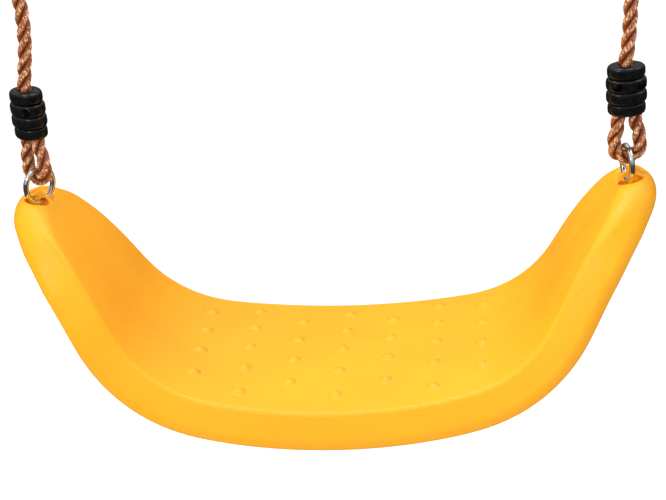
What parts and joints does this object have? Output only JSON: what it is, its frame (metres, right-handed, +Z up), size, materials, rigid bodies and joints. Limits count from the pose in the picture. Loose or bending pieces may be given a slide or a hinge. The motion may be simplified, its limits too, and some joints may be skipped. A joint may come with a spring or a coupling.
{
  "type": "curved swing seat on ropes",
  "caption": "Child's curved moulded swing seat hung by steel rings and clamped rope loops from overhead hooks.",
  "frame": {"origin": "midway between the hanging rings, on the line where their hooks bear", "axes": "+Z up, +X along the width of the seat to the right seen from the front, -Y towards the front edge of the seat"},
  "size_m": [0.445, 0.1812, 0.4334],
  "materials": {
    "seat_plastic": "fine pebbled moulded plastic, warm yellow",
    "rope": "twisted three-strand rope, copper brown",
    "clamp_plastic": "glossy black moulded plastic",
    "ring_steel": "bright plated wire",
    "screw_steel": "blackened steel"
  },
  "bodies": {
    "hangers": {"left_hanging_ring": "ring_steel", "right_hanging_ring": "ring_steel"},
    "left_rope": {"left_rope": "rope", "left_lower_clamp_front": "clamp_plastic", "left_lower_clamp_back": "clamp_plastic", "left_lower_clamp_screw_1": "screw_steel", "left_lower_clamp_screw_2": "screw_steel", "left_upper_clamp_front": "clamp_plastic", "left_upper_clamp_back": "clamp_plastic", "left_upper_clamp_screw_1": "screw_steel", "left_upper_clamp_screw_2": "screw_steel"},
    "right_rope": {"right_rope": "rope", "right_lower_clamp_front": "clamp_plastic", "right_lower_clamp_back": "clamp_plastic", "right_lower_clamp_screw_1": "screw_steel", "right_lower_clamp_screw_2": "screw_steel", "right_upper_clamp_front": "clamp_plastic", "right_upper_clamp_back": "clamp_plastic", "right_upper_clamp_screw_1": "screw_steel", "right_upper_clamp_screw_2": "screw_steel"},
    "left_ring": {"left_seat_ring": "ring_steel"},
    "right_ring": {"right_seat_ring": "ring_steel"},
    "seat": {"seat": "seat_plastic"}
  },
  "joints": [
    {"name": "left_rope_swing", "type": "hinge", "parent": "hangers", "child": "left_rope", "pos_m": [-0.2025, 0, -0.0325], "axis": [1, 0, 0], "range_deg": [-45, 45]},
    {"name": "right_rope_swing", "type": "hinge", "parent": "hangers", "child": "right_rope", "pos_m": [0.2025, 0, -0.0325], "axis": [1, 0, 0], "range_deg": [-45, 45]},
    {"name": "left_ring_tilt", "type": "hinge", "parent": "left_rope", "child": "left_ring", "pos_m": [-0.2025, 0, -0.2528], "axis": [1, 0, 0], "range_deg": [-12, 12]},
    {"name": "seat_tilt", "type": "hinge", "parent": "left_ring", "child": "seat", "pos_m": [-0.2025, 0, -0.2728], "axis": [1, 0, 0], "range_deg": [-8, 8]},
    {"name": "right_ring_tilt", "type": "hinge", "parent": "seat", "child": "right_ring", "pos_m": [0.2025, 0, -0.2728], "axis": [1, 0, 0], "range_deg": [-8, 8]}
  ],
  "couplings": [
    {"joint": "right_rope_swing", "follows": "left_rope_swing", "ratio": 1},
    {"joint": "right_ring_tilt", "follows": "seat_tilt", "ratio": -1}
  ]
}
